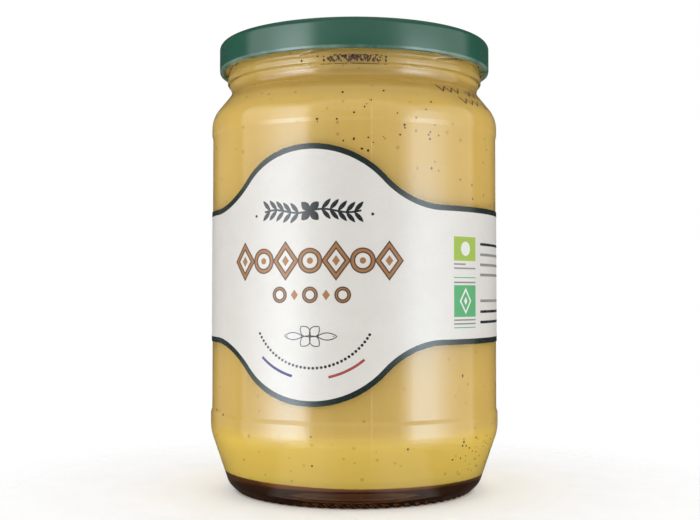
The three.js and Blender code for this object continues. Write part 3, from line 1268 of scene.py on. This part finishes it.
def print_sprig(batch):
    """A leafy sprig with a blossom at its middle and a dot past each end."""
    along = np.linspace(-Sprig.half_length, Sprig.half_length, 60)
    ink_stroke(batch, np.stack([along, stem_height(along)], axis=1), Sprig.stem)
    for place in np.arange(Sprig.first_leaves, Sprig.half_length, Sprig.leaf_gap):
        for side in (-1, 1):
            for lean in (Sprig.leaf_lean, -Sprig.leaf_lean):
                direction = lean if side > 0 else 180 - lean
                ink_shape(batch, leaf((side * place, stem_height(side * place)), direction, *Sprig.leaf))
    for turn in PETAL_TURNS:
        ink_shape(batch, leaf((0.0, Sprig.height), turn, *Sprig.petal))
    for side in (-1, 1):
        middle = (side * (Sprig.half_length + Sprig.dot_gap), Sprig.height - Sprig.dot_drop)
        ink_shape(batch, circle(middle, Sprig.dot_radius))


def edged_line(fill, edge, path, width):
    """A closed line, darker along both its sides. Its path is a function of how far it is moved out."""
    inside, outside = -width / 2, width / 2
    ink_band(fill, path(inside), path(outside))
    ink_band(edge, path(inside), path(inside + Frieze.edge_line), Label.ink_over)
    ink_band(edge, path(outside - Frieze.edge_line), path(outside), Label.ink_over)


def print_copper(fill, edge):
    """A frieze of diamonds and rings in broad line, and a smaller row of rings and diamonds below."""
    pitch = 2 * Frieze.half_width / Frieze.motifs
    for number in range(Frieze.motifs):
        middle = (-Frieze.half_width + pitch * (number + 0.5), Frieze.height)
        if number % 2:
            edged_line(fill, edge, lambda out: circle(middle, Frieze.ring_radius + out), Frieze.line)
            ink_shape(fill, circle(middle, Frieze.bead_radius, 18))
        else:
            edged_line(fill, edge, lambda out: lozenge(middle, *Frieze.diamond, out), Frieze.line)
            ink_shape(fill, lozenge(middle, *Frieze.small_diamond))
    for number in range(-2, 3):
        middle = (number * Frieze.low_pitch, Frieze.low_height)
        if number % 2:
            ink_shape(fill, lozenge(middle, *Frieze.small_diamond))
        else:
            edged_line(fill, edge, lambda out: circle(middle, Frieze.low_ring + out), Frieze.low_line)


def print_blossom(batch):
    """A four-petalled flower between two leaves, in thin line, over an arc of dots."""
    middle = (0.0, Blossom.height)
    for turn in PETAL_TURNS:
        ink_stroke(batch, leaf(middle, turn, *Blossom.petal), Blossom.line, closed=True)
    ink_shape(batch, circle(middle, Blossom.heart_radius, 16))
    for direction in (0, 180):
        start = math.cos(math.radians(direction)) * Blossom.leaf_start
        root = (start, Blossom.height)
        ink_stroke(batch, leaf(root, direction, *Blossom.leaf), Blossom.line, closed=True)
        ink_stroke(batch, [root, (start * Blossom.vein_reach, Blossom.height)], Blossom.vein)
    for dot in arc(Blossom.dot_arc_middle, Blossom.dot_arc_radius, *Blossom.dot_arc_ends, Blossom.dots):
        ink_shape(batch, circle(dot, Blossom.dot_radius, 12))


def print_stripes(blue, red):
    """Two short arcs under the arc of dots."""
    for ink, ends in ((blue, Stripes.blue_ends), (red, Stripes.red_ends)):
        ink_stroke(ink, arc(Stripes.middle, Stripes.radius, *ends), Stripes.line)


def print_fields(light_green, mid_green, white, grey):
    """Two green fields with plain white shapes, and thin rules above and below them."""
    left, right = Fields.left, Fields.right
    in_square = ((left + right) / 2, sum(Fields.square) / 2)
    in_panel = ((left + right) / 2, sum(Fields.panel) / 2)
    ink_bar(light_green, left, right, *Fields.square)
    ink_shape(white, circle(in_square, Fields.dot_radius), Label.ink_over)
    ink_bar(mid_green, left, right, *Fields.panel)
    inner = lozenge(in_panel, *Fields.diamond)
    outer = lozenge(in_panel, *Fields.diamond, Fields.diamond_line)
    ink_band(white, inner, outer, Label.ink_over)
    ink_shape(white, lozenge(in_panel, *Fields.small_diamond), Label.ink_over)
    for height, share in Fields.rules:
        ink_rule(grey, left, left + (right - left) * share, height, Fields.half_rule)
    for height in Fields.green_rules:
        ink_rule(mid_green, left, right, height, Fields.half_green_rule)


def print_rules(grey, dark):
    """Grey and dark rules in columns that run on round the back, and a ruled table."""
    draw = np.random.default_rng(Rules.seed)
    for ink, heights in ((dark, Rules.first_dark), (grey, Rules.grey), (dark, Rules.last_dark)):
        for height in heights:
            right = Rules.left + (Rules.right - Rules.left) * draw.uniform(Rules.shortest, 1.0)
            ink_rule(ink, Rules.left, right, height, Rules.half_line)
    for left in Rules.far_lefts:
        for row in range(Rules.far_rows):
            right = left + Rules.far_length * draw.uniform(Rules.far_shortest, 1.0)
            ink_rule(grey, left, right, Rules.far_top - row * Rules.far_pitch, Rules.far_half_line)
    entry_left, entry_right = Table.left + Table.margin, Table.right - Table.margin
    for row in range(Table.rows):
        height = Table.top - row * Table.pitch
        ink_rule(dark, Table.left, Table.right, height, Table.half_line)
        if row:
            entry = (height + Table.entry_low, height + Table.entry_high)
            length = Table.longest_entry * draw.uniform(Table.shortest_entry, 1.0)
            ink_bar(grey, entry_left, entry_left + length, *entry)
            ink_bar(grey, entry_right - Table.figure, entry_right, *entry)


INKS = {
    "border_green": ((13, 30, 25), (19, 37, 32), 0.29),
    "slate": ((20, 25, 26), (28, 33, 34), 0.32),
    "copper": ((168, 118, 70), (158, 108, 62), 0.45),
    "copper_edge": ((82, 52, 30), (72, 45, 26), 0.45),
    "light_green": ((164, 194, 66), (156, 186, 62), 0.6),
    "mid_green": ((84, 174, 112), (78, 164, 104), 0.6),
    "white": ((240, 240, 234), (228, 228, 222), 0.7),
    "grey": ((128, 128, 126), (150, 150, 148), 0.68),
    "blue": ((72, 74, 128), (84, 86, 138), 0.62),
    "red": ((150, 50, 48), (162, 62, 58), 0.62),
}


def make_printing():
    batches = {ink: Batch() for ink in INKS}
    print_border(batches["border_green"])
    print_sprig(batches["slate"])
    print_copper(batches["copper"], batches["copper_edge"])
    print_blossom(batches["slate"])
    print_stripes(batches["blue"], batches["red"])
    print_fields(batches["light_green"], batches["mid_green"], batches["white"], batches["grey"])
    print_rules(batches["grey"], batches["slate"])
    for ink, (first, second, roughness) in INKS.items():
        material = printed_paper(f"ink_{ink}", rgb(*first), rgb(*second), roughness)
        dressed(batches[ink].piece(f"label_print_{ink}", [material]), "label_paper")


# Marks on the glass


class Smudge:
    seed = 23
    middle_angle = 16.0
    angle_spread = 6.5
    angles = (-6, 29)
    low = 127.7
    high = 129.5
    blots = 130
    smallest = 0.14
    largest = 0.46
    blot_width = 0.8
    line_width = 2.2
    line_height = 127.05
    line_bits = 30
    line_thickness = 0.09
    lift = 0.02
    thickness = 0.05


class Zigzag:
    rows = ((121.2, 52.0, 84.0), (118.2, 62.0, 86.0))
    height = 0.85
    length = math.radians(4.4)
    gap_every = 4
    dot_spacing = math.radians(0.45)
    dot_radius = 0.3


def smudge_dirt():
    """Dark dried dirt and ink on the glass."""
    return grained_coat("smudge_dirt", 1400.0, (44, 22, 12), (80, 48, 30), (0.6, 0.85))


def mark(batch, wall, normals, angle, height, half_width, half_height):
    """A thin blot that lies on the outside of the glass."""
    radius, lean_out, lean_up = (np.interp(height, wall[:, 1], values)
                                 for values in (wall[:, 0], normals[:, 0], normals[:, 1]))
    away, across = ways(angle)
    out = away * lean_out + UP * lean_up
    up = UP * lean_out - away * lean_up
    middle = away * radius + UP * height + out * Smudge.lift
    lens(batch, middle, across, up, out, half_width, half_height, Smudge.thickness)


def make_marks(material):
    """Blots of dirt under the lid, a dark line of bits along the groove below them, and dotted zigzags on
    the shoulder.
    """
    draw = np.random.default_rng(Smudge.seed)
    outline, outside_rows = jar_outline()
    normals = outward(outline)[:outside_rows]
    wall = outline[:outside_rows]
    upper = wall[:, 1] > Jar.panel_top
    wall, normals = wall[upper], normals[upper]
    batch = Batch()
    for number in range(Smudge.blots + Smudge.line_bits):
        angle = math.radians(np.clip(draw.normal(Smudge.middle_angle, Smudge.angle_spread), *Smudge.angles))
        size = draw.uniform(Smudge.smallest, Smudge.largest)
        if number < Smudge.blots:
            height = draw.uniform(Smudge.low, Smudge.high)
            mark(batch, wall, normals, angle, height, size * Smudge.blot_width, size)
        else:
            # A dark line of bits along the groove.
            length = size * Smudge.line_width
            mark(batch, wall, normals, angle, Smudge.line_height, length, Smudge.line_thickness)
    for height, start, end in Zigzag.rows:
        for angle in np.arange(math.radians(start), math.radians(end), Zigzag.dot_spacing):
            stage = (angle - math.radians(start)) / Zigzag.length
            if int(stage) % Zigzag.gap_every == Zigzag.gap_every - 1:
                continue
            rise = Zigzag.height * (4 * abs(stage % 1 - 0.5) - 1)
            mark(batch, wall, normals, angle, height + rise, Zigzag.dot_radius, Zigzag.dot_radius)
    return dressed(batch.piece("glass_marks", [material]), "clear_glass")


# Stage, lamps and camera


def make_camera():
    camera = bpy.data.objects.new("camera", bpy.data.cameras.new("camera"))
    camera.data.sensor_width = Shot.sensor
    camera.data.lens = Shot.focal_pixels * Shot.sensor / Shot.image_width
    camera.data.clip_start = 0.01
    camera.location = (TO_CAMERA * Shot.distance + UP * Shot.height) * MILLIMETRE
    aside = math.atan((Shot.axis_pixel - Shot.image_width / 2) / Shot.focal_pixels)
    camera.rotation_euler = (math.pi / 2 + Shot.pitch, 0.0, Shot.azimuth + aside)
    bpy.context.scene.collection.objects.link(camera)
    bpy.context.scene.camera = camera


def make_floor():
    batch = Batch()
    radii = np.array(Floor.ring_radii)[:, None] / MILLIMETRE
    batch.turned(even_turns(Floor.columns), radii, 0 * radii)
    floor = batch.piece("floor", [pale_floor()])
    floor.location.z = -Floor.drop


class Face:
    """Where a graded lamp's face changes, in parts of its height."""
    low = (0.16, 0.33)
    level = (0.56, 0.66)
    high = (0.64, 0.7)
    top = (0.8, 1.0)


def graded_light(lamp, levels, peak, peak_place, spread, kept, ends):
    """Grades a lamp's face, in parts of its width and height: a level below and one above, a bright place
    with its shares that are kept below and above, and soft ends."""
    lamp.use_nodes = True
    tree = lamp.node_tree
    tree.nodes.clear()
    face = add_node(tree, "ShaderNodeNewGeometry").outputs["Parametric"]
    along, up, _ = add_node(tree, "ShaderNodeSeparateXYZ", {0: face}).outputs
    off = vector_arithmetic(tree, "SUBTRACT", face, (*peak_place, 0.0))[0]
    scaled = vector_arithmetic(tree, "MULTIPLY", off, (1 / spread[0], 1 / spread[1], 0.0))[0]
    squared = along_way(tree, scaled, scaled)
    bell = product(tree, arithmetic(tree, "EXPONENT", arithmetic(tree, "MULTIPLY", squared, -1.0)),
                   ranged(tree, up, *Face.low, kept[0], 1.0), ranged(tree, up, *Face.high, 1.0, kept[1]))
    strength = arithmetic(tree, "MULTIPLY_ADD", bell, peak, ranged(tree, up, *Face.level, *levels))
    strength = product(tree, strength, ranged(tree, up, *Face.top, 1.0, 0.0),
                       *(ranged(tree, along, nothing, full, 0.0, 1.0) for nothing, full in ends))
    colour = mixed(tree, bell, (1.0, 1.0, 1.0, 1.0), (0.72, 0.86, 1.0, 1.0))
    glow = add_node(tree, "ShaderNodeEmission", {"Color": colour, "Strength": strength})
    output = tree.nodes.new("ShaderNodeOutputLight")
    finished(tree, output, glow.outputs[0])


def make_softbox(name, azimuth, distance, height, size, radiance=1.0):
    """A rectangular lamp that faces the jar, placed by its angle from the camera's side."""
    lamp = bpy.data.lights.new(name, "AREA")
    lamp.shape = "RECTANGLE"
    lamp.size, lamp.size_y = size
    lamp.energy = math.pi * size[0] * size[1] * radiance
    holder = bpy.data.objects.new(name, lamp)
    angle = Shot.azimuth + math.radians(azimuth)
    holder.location = ways(angle)[0] * distance + UP * height
    holder.rotation_euler = (math.pi / 2, 0.0, angle)
    bpy.context.scene.collection.objects.link(holder)
    return holder


class Backdrop:
    """Strengths of the surround. Its edges are parts of a direction: how far it faces the camera, goes
    aside to the right, or stands upright."""
    seen = 1.0
    level = 0.35
    overhead = 0.9
    overhead_edge = (0.2, 0.9)
    room = 0.05
    front = 1.2
    front_edge = (0.55, 0.78)
    front_middle = 0.15
    strip = 0.65
    strip_edges = ((0.16, 0.22), (0.32, 0.4))
    ceiling = 0.45
    ceiling_edge = (0.6, 0.95)
    left_wall, right_wall = 0.3, 0.1
    wall_change = (-0.3, 0.3)
    wall_edges = ((-0.85, -0.7), (-0.3, -0.1))
    wall_top = (0.12, 0.18)


def mirrored_room(tree, facing, aside, upright):
    """What the jar mirrors: a dark room with a pale front, a strip in it, a ceiling and low side walls."""
    front = ranged(tree, facing, *Backdrop.front_edge, Backdrop.room, Backdrop.front)
    strip = arithmetic(tree, "MULTIPLY", window(tree, upright, *Backdrop.strip_edges), Backdrop.strip)
    middle = ranged(tree, facing, Backdrop.front_edge[1], 1.0, 1.0, Backdrop.front_middle)
    wall = ranged(tree, aside, *Backdrop.wall_change, Backdrop.left_wall, Backdrop.right_wall)
    low = ranged(tree, upright, *Backdrop.wall_top, 1.0, 0.0)
    walls = product(tree, wall, low, window(tree, facing, *Backdrop.wall_edges))
    mirrored = arithmetic(tree, "MULTIPLY", front, arithmetic(tree, "MAXIMUM", strip, middle))
    ceiling = ranged(tree, upright, *Backdrop.ceiling_edge, 0.0, Backdrop.ceiling)
    return arithmetic(tree, "MAXIMUM", arithmetic(tree, "MAXIMUM", mirrored, ceiling), walls)


def make_backdrop():
    """A plain white surround: bright to the camera, dimmer as light, and a dark room in reflections."""
    world = bpy.data.worlds.new("studio")
    world.use_nodes = True
    tree = world.node_tree
    tree.nodes.clear()
    rays = add_node(tree, "ShaderNodeLightPath").outputs
    toward = add_node(tree, "ShaderNodeTexCoord").outputs["Generated"]
    facing = along_way(tree, toward, TO_CAMERA)
    aside = along_way(tree, toward, TO_RIGHT)
    upright = arithmetic(tree, "ABSOLUTE", along_way(tree, toward, UP))
    light = ranged(tree, upright, *Backdrop.overhead_edge, Backdrop.level, Backdrop.overhead)
    mirrored = mirrored_room(tree, facing, aside, upright)
    strength = blended(tree, mirrored_rays(tree, rays), light, mirrored)
    strength = blended(tree, rays["Is Camera Ray"], strength, Backdrop.seen)
    white = add_node(tree, "ShaderNodeBackground", {"Color": (1.0, 1.0, 1.0, 1.0), "Strength": strength})
    output = tree.nodes.new("ShaderNodeOutputWorld")
    finished(tree, output, white.outputs[0])
    bpy.context.scene.world = world


# Lamps: names, angles in degrees from the camera's side, and radiances. Their sizes are metres.

SOFTBOXES = (
    ("softbox_left", -68, (1.03, 1.0), dict(
        levels=(1.2, 1.6), peak=9.6, peak_place=(0.70, 0.25), spread=(0.23, 0.36), kept=(0.5, 1.4),
        ends=((0.11, 0.2), (1.0, 0.87)))),
    ("softbox_right", 74, (1.155, 1.0), dict(
        levels=(1.1, 1.15), peak=7.2, peak_place=(0.29, 0.36), spread=(0.21, 0.3), kept=(0.9, 0.45),
        ends=((0.89, 0.8), (0.0, 0.2)))),
)
FILLS = (("fill_left", -62, 1.6), ("fill_right", 62, 1.5), ("fill_back", 180, 1.5))
GLOWS = (("glow_left", -100, 2.5), ("glow_right", 100, 2.4), ("glow_front", 0, 0.9))


class Lamps:
    softbox_distance = 0.66
    softbox_height = 0.1
    fill_distance = 0.8
    fill_height = 0.05
    fill_size = (0.7, 0.8)
    glow_distance = 0.66
    glow_height = 0.0
    glow_size = (0.9, 1.0)


def make_studio():
    """Two graded softboxes that show in the glass, and plain ones that light the jar without showing."""
    for name, azimuth, size, grading in SOFTBOXES:
        softbox = make_softbox(name, azimuth, Lamps.softbox_distance, Lamps.softbox_height, size)
        graded_light(softbox.data, **grading)
        softbox.visible_diffuse = False
        softbox.visible_transmission = False
    for name, azimuth, radiance in FILLS:
        fill = make_softbox(name, azimuth, Lamps.fill_distance, Lamps.fill_height, Lamps.fill_size, radiance)
        fill.visible_glossy = False
        fill.visible_transmission = False
    for name, azimuth, radiance in GLOWS:
        glow = make_softbox(name, azimuth, Lamps.glow_distance, Lamps.glow_height, Lamps.glow_size, radiance)
        glow.visible_diffuse = False
        glow.visible_glossy = False
    make_backdrop()
    bpy.context.scene.view_settings.view_transform = "Standard"


make_camera()
make_floor()
make_studio()
make_glass_jar(clear_glass())
make_mustard(mustard_paste())
make_husk(husk_bits())
make_lid(lid_lacquer(), lid_lining())
make_label_paper(printed_paper("label_paper", rgb(236, 233, 227), rgb(226, 222, 216), 0.38))
make_printing()
make_marks(smudge_dirt())
